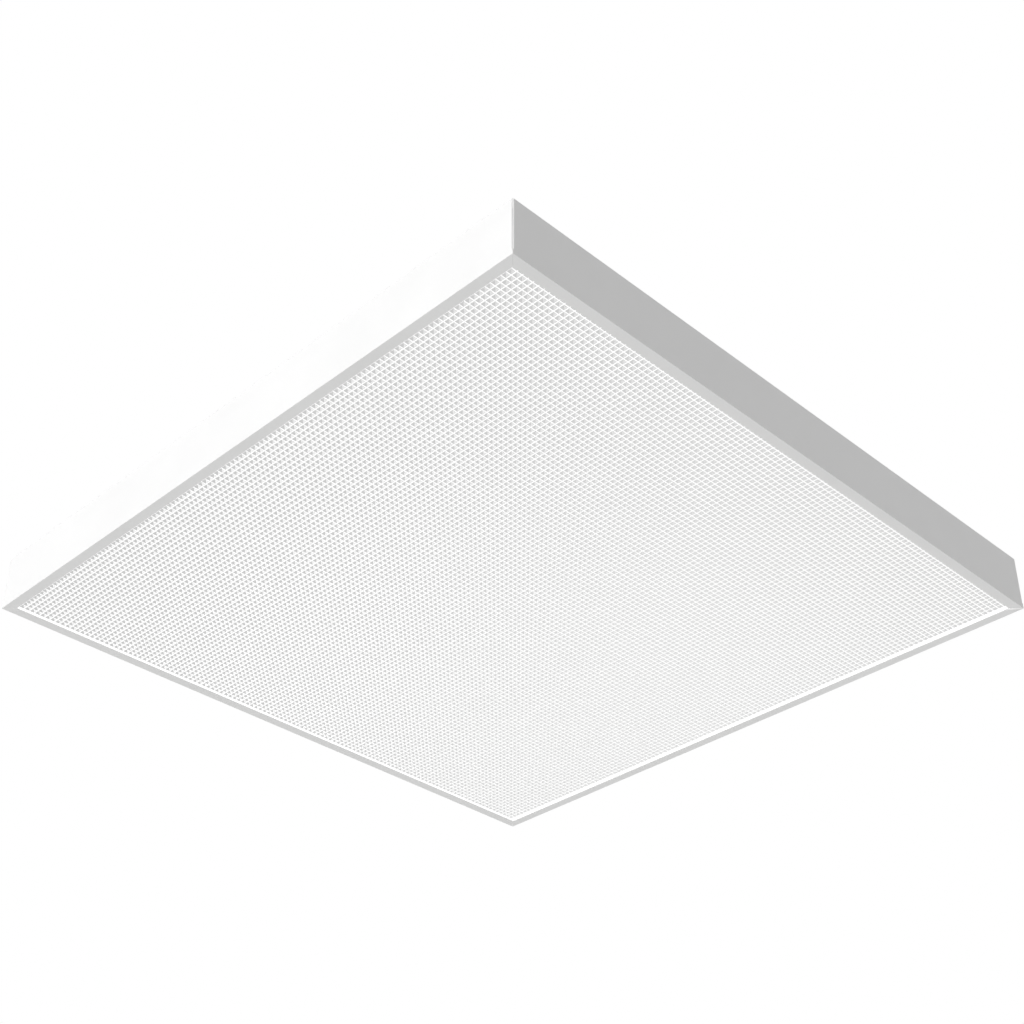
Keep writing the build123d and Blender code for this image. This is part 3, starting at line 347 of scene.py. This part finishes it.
def make_finishes():
    """One material for each material slot of the part, apart from the acrylic panel's."""
    return {
        # Polyester powder coat, baked, fine matt. Its orange peel is about 1.5 mm across and too low to cast
        # a shadow, so it only breaks up the sheen.
        "powder_coat_white": coated("powder_coat_baked_matt_white", "#E8E8E8", "#E6E6E6",
                                    patch=60, roughness=0.6, grain=1.5, depth=0.006, Specular_IOR_Level=0.3),
        # Coil-coated steel, rolled on before it was cut: smoother and a little glossier than the frame.
        "back_steel": coated("coil_coated_sheet_white", "#E9E9E7", "#E4E4E2",
                             patch=90, roughness=0.45, grain=2.5, depth=0.004),
        # Zinc-plated pressed steel, dull and bluish, with cloudy patches from the bath.
        "key_steel": plated("zinc_plated_pressing", "#BDC1C4", "#A7ABB0",
                            patch=9, roughness=0.38, line=0.6, stretch=(1.0, 1.0, 0.2)),
        # Bright zinc plating on the screws, rivets, studs, plates and clamp.
        "zinc_steel": plated("zinc_plated_bright", "#C8CBCD", "#B1B5B9",
                             patch=6, roughness=0.3, line=0.4, stretch=(1.0, 1.0, 0.3)),
        # Zinc-plated spring sheet: rolling lines run along the clips.
        "clip_steel": plated("zinc_plated_spring_sheet", "#BFC2C5", "#A9ADB1",
                             patch=12, roughness=0.36, line=0.5, stretch=(0.15, 1.0, 1.0)),
        # Closed-cell PE foam strip: cut cells about 0.5 mm across give it a dull, pitted look.
        "gasket_foam": coated("foam_closed_cell_cut", "#DCDCDA", "#CFCFCC",
                              patch=4, roughness=0.92, grain=0.5, depth=0.12),
        # High-reflectance white enamel: flat and bright.
        "reflector_white": coated("enamel_reflector_white", "#F1F1EE", "#ECECE9",
                                  patch=80, roughness=0.7, grain=1.2, depth=0.01),
        # White solder mask: a thin even gloss, faintly cloudy where copper lies under it.
        "board_white": coated("solder_mask_white", "#E9EAE8", "#E2E4E1",
                              patch=11, roughness=0.4, grain=3.0, depth=0.01),
        # Silicone with yellow phosphor, dispensed into each package: smooth and glossy.
        "led_phosphor": coated("silicone_phosphor_yellow", "#F0D27A", "#EBC762",
                               patch=1.5, roughness=0.25, grain=0.8, depth=0.01),
        # Injection-moulded natural nylon, a little creamy, with fine spark-eroded texture.
        "connector_white": coated("nylon_moulded_natural", "#EAE7DC", "#E4E0D3",
                                  patch=5, roughness=0.5, grain=0.4, depth=0.01),
        # Extruded white PVC, smooth with a soft sheen.
        "jumper_white": coated("pvc_extruded_white", "#E4E3DE", "#DCDBD5",
                               patch=8, roughness=0.4, grain=2.0, depth=0.01),
        "galvanised_steel": galvanised_spangle(),
        # Moulded black rubber: dull, with a dusty bloom in patches.
        "bushing_rubber": coated("rubber_moulded_black", "#262626", "#1E1E1E",
                                 patch=4, roughness=0.72, grain=0.5, depth=0.02),
        # Moulded grey polyamide with a fine matt texture.
        "terminal_grey": coated("polyamide_moulded_grey", "#BFC1C1", "#B6B9B9",
                                patch=8, roughness=0.5, grain=0.4, depth=0.012),
        # Moulded orange polyamide, the same texture but smoother from handling.
        "lever_orange": coated("polyamide_moulded_orange", "#E2741E", "#D96A17",
                               patch=6, roughness=0.42, grain=0.4, depth=0.01),
        # Tin plating on copper: pale, slightly warm and soft.
        "tinned_copper": plated("tin_plated_copper", "#D6D1C8", "#C2BBB0",
                                patch=3, roughness=0.32, line=0.3, stretch=(0.3, 1.0, 1.0)),
        # Coil-coated steel of the driver's case: like the back cover's, a touch greyer and glossier.
        "driver_case_white": coated("coil_coated_driver_case", "#E6E6E3", "#E1E1DE",
                                    patch=50, roughness=0.42, grain=2.0, depth=0.005),
        # Green solder mask over glass epoxy: a faint relief at the 0.6 mm of the cloth's weave.
        "board_green": coated("solder_mask_green", "#1F5E38", "#1A5431",
                              patch=7, roughness=0.35, grain=0.6, depth=0.01),
        # Moulded epoxy of the components: matt black.
        "component_black": coated("epoxy_moulded_black", "#2A2A2C", "#232325",
                                  patch=5, roughness=0.55, grain=0.5, depth=0.012),
        "lead_brown": insulation("brown", "#5B3A24", "#52331F"),
        "lead_blue": insulation("blue", "#2A62A8", "#25599B"),
        "lead_earth": earth_insulation(),
        "lead_red": insulation("red", "#B32420", "#A61F1C"),
        "lead_black": insulation("black", "#242424", "#1E1E1E"),
    }


def dress_nodes(finishes):
    """Gives every solid that stays its slot's material."""
    for part in frame["record"]["subparts"]:
        finish = finishes.get(part["material_slot"])
        if finish is None:
            continue
        solid = frame["nodes"][part["node"]]
        if not solid.material_slots:
            solid.data.materials.append(finish)
        for place in solid.material_slots:
            place.material = finish


# ------------------------------------------------------------------ diffuser panel
LIP_WIDTH = 8.75           # mm, as are the sizes below: the frame's lip around the lit face
LIP_THICKNESS = 1.75
FACE_PLAY = 0.2            # between the lit face and the lip
PRISM_PITCH = 4.853        # from one pyramid dimple to the next
PRISM_COUNT = (118, 119)   # dimples along x and along y, with the ones that the edge cuts
PRISM_HALF = 2.12          # half of a dimple's square mouth
PRISM_DEPTH = 1.66
PRISM_START = (-288.70, -292.25)   # x and y where the field of dimples starts, just outside the face
CUT_EDGE = 0.02            # what is left of the ridge outside a dimple that the edge cuts
RIDGES, PRISMS, BORDER = range(3)  # the panel's finishes, in the order of its materials
# Painted light: emission over a grey base gives the panel its tones, ridges bright, dimples' walls darker,
# border faint.
LIT_TONE = "#898989"
BORDER_TONE = "#A0A0A0"
RIDGE_PAINTED_GLOW = 0.98
PRISM_PAINTED_GLOW = 0.37
BORDER_PAINTED_GLOW = 0.12
FROSTED = 0.4              # roughness of the ridges and the border
POLISHED = 0.34            # roughness of the dimples' walls
CORNERS = 4                # of each ring round the panel


def panel_finishes():
    """Opal PMMA, embossed as a sheet, in its three finishes, each with its own painted glow."""
    return [
        # The frosted ridges scatter the boards' light straight down; the strongest painted glow makes them a
        # bright net.
        acrylic_with_painted_glow("acrylic_opal_frosted_ridges_painted_glow", LIT_TONE, RIDGE_PAINTED_GLOW, FROSTED),
        # The polished pyramid walls bend it aside: a weaker painted glow shades them darker; they are a
        # little glossier.
        acrylic_with_painted_glow("acrylic_opal_polished_prisms_painted_dim_glow", LIT_TONE, PRISM_PAINTED_GLOW, POLISHED),
        # The border lies on the lip, outside the lit field: a faint painted glow for the stray light on it
        # and its edges.
        acrylic_with_painted_glow("acrylic_opal_border_painted_faint_glow", BORDER_TONE, BORDER_PAINTED_GLOW, FROSTED),
    ]


def dimple_lines(low, high, axis):
    """Along one axis of the lit face: the grid lines, which are its two edges and both sides of every
    dimple's mouth, and where each dimple is deepest. The panel is cut from a larger sheet, so its edge cuts
    the first row of dimples, and their mouths stay open right up to the edge."""
    middles = [mm(PRISM_START[axis] + (cell + 0.5) * PRISM_PITCH) for cell in range(PRISM_COUNT[axis])]
    cut = low + mm(CUT_EDGE)
    lines = [low]
    for middle in middles:
        lines += [max(middle - mm(PRISM_HALF), cut), middle + mm(PRISM_HALF)]
    return lines + [high], [max(middle, cut + mm(CUT_EDGE)) for middle in middles]


def lit_face(across, along, deepest_x, deepest_y, level):
    """The lit face between its grid lines: flat ridges, and a sunk pyramid in every second cell both ways."""
    wide, long = len(across), len(along)
    points = [(x, y, level) for y in along for x in across]
    faces = []
    finish_of = []
    for row in range(long - 1):
        for column in range(wide - 1):
            corner = row * wide + column
            mouth = (corner, corner + wide, corner + wide + 1, corner + 1)
            if row % 2 and column % 2:
                x, y = deepest_x[column // 2], deepest_y[row // 2]
                run = min(across[column + 1] - x, along[row + 1] - y)
                faces += [(mouth[side], mouth[(side + 1) % CORNERS], len(points)) for side in range(CORNERS)]
                finish_of += [PRISMS] * CORNERS
                points.append((x, y, level + run * PRISM_DEPTH / PRISM_HALF))
            else:
                faces.append(mouth)
                finish_of.append(RIDGES)
    return points, faces, finish_of


def build_diffuser():
    """The embossed panel: one closed shell, smooth above, rebated where it lies on the frame's lip, with a
    field of sunk pyramids in its lit face."""
    low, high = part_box("diffuser_panel")
    face_half = cad_box[1][0] - mm(LIP_WIDTH + FACE_PLAY)
    across, deepest_x = dimple_lines(-face_half, face_half, 0)
    along, deepest_y = dimple_lines(-face_half, face_half, 1)
    points, faces, finish_of = lit_face(across, along, deepest_x, deepest_y, low[2])
    wide, long = len(across), len(along)
    rims = [list(range(wide)),
            [wide - 1 + row * wide for row in range(long)],
            [wide * long - 1 - column for column in range(wide)],
            [(long - 1 - row) * wide for row in range(long)]]
    rings = [len(points) + ring * CORNERS for ring in range(3)]
    points += square(face_half, mm(LIP_THICKNESS))
    points += square(high[0], mm(LIP_THICKNESS))
    points += square(high[0], high[2])
    for side, rim in enumerate(rims):
        inner, outer, back = [(ring + side, ring + (side + 1) % CORNERS) for ring in rings]
        faces += [tuple(rim) + inner[::-1], inner + outer[::-1], outer + back[::-1]]
        finish_of += [BORDER] * 3
    faces.append(tuple(range(rings[2], rings[2] + CORNERS)))
    finish_of.append(RIDGES)
    mesh = bpy.data.meshes.new("prismatic_diffuser")
    mesh.from_pydata(points, [], faces)
    for finish in panel_finishes():
        mesh.materials.append(finish)
    mesh.polygons.foreach_set("material_index", finish_of)
    mesh.update()
    panel = bpy.data.objects.new("prismatic_diffuser", mesh)
    scene.collection.objects.link(panel)
    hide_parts("diffuser_panel")
    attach(panel, "housing")


# ------------------------------------------------------------------ the scene
scene.view_settings.view_transform = "Standard"
add_camera()
add_world()
for name, (runs, softness, shadow) in LAMPS.items():
    add_lamp(name, runs, softness, shadow)
add_floor()
dress_nodes(make_finishes())
build_diffuser()
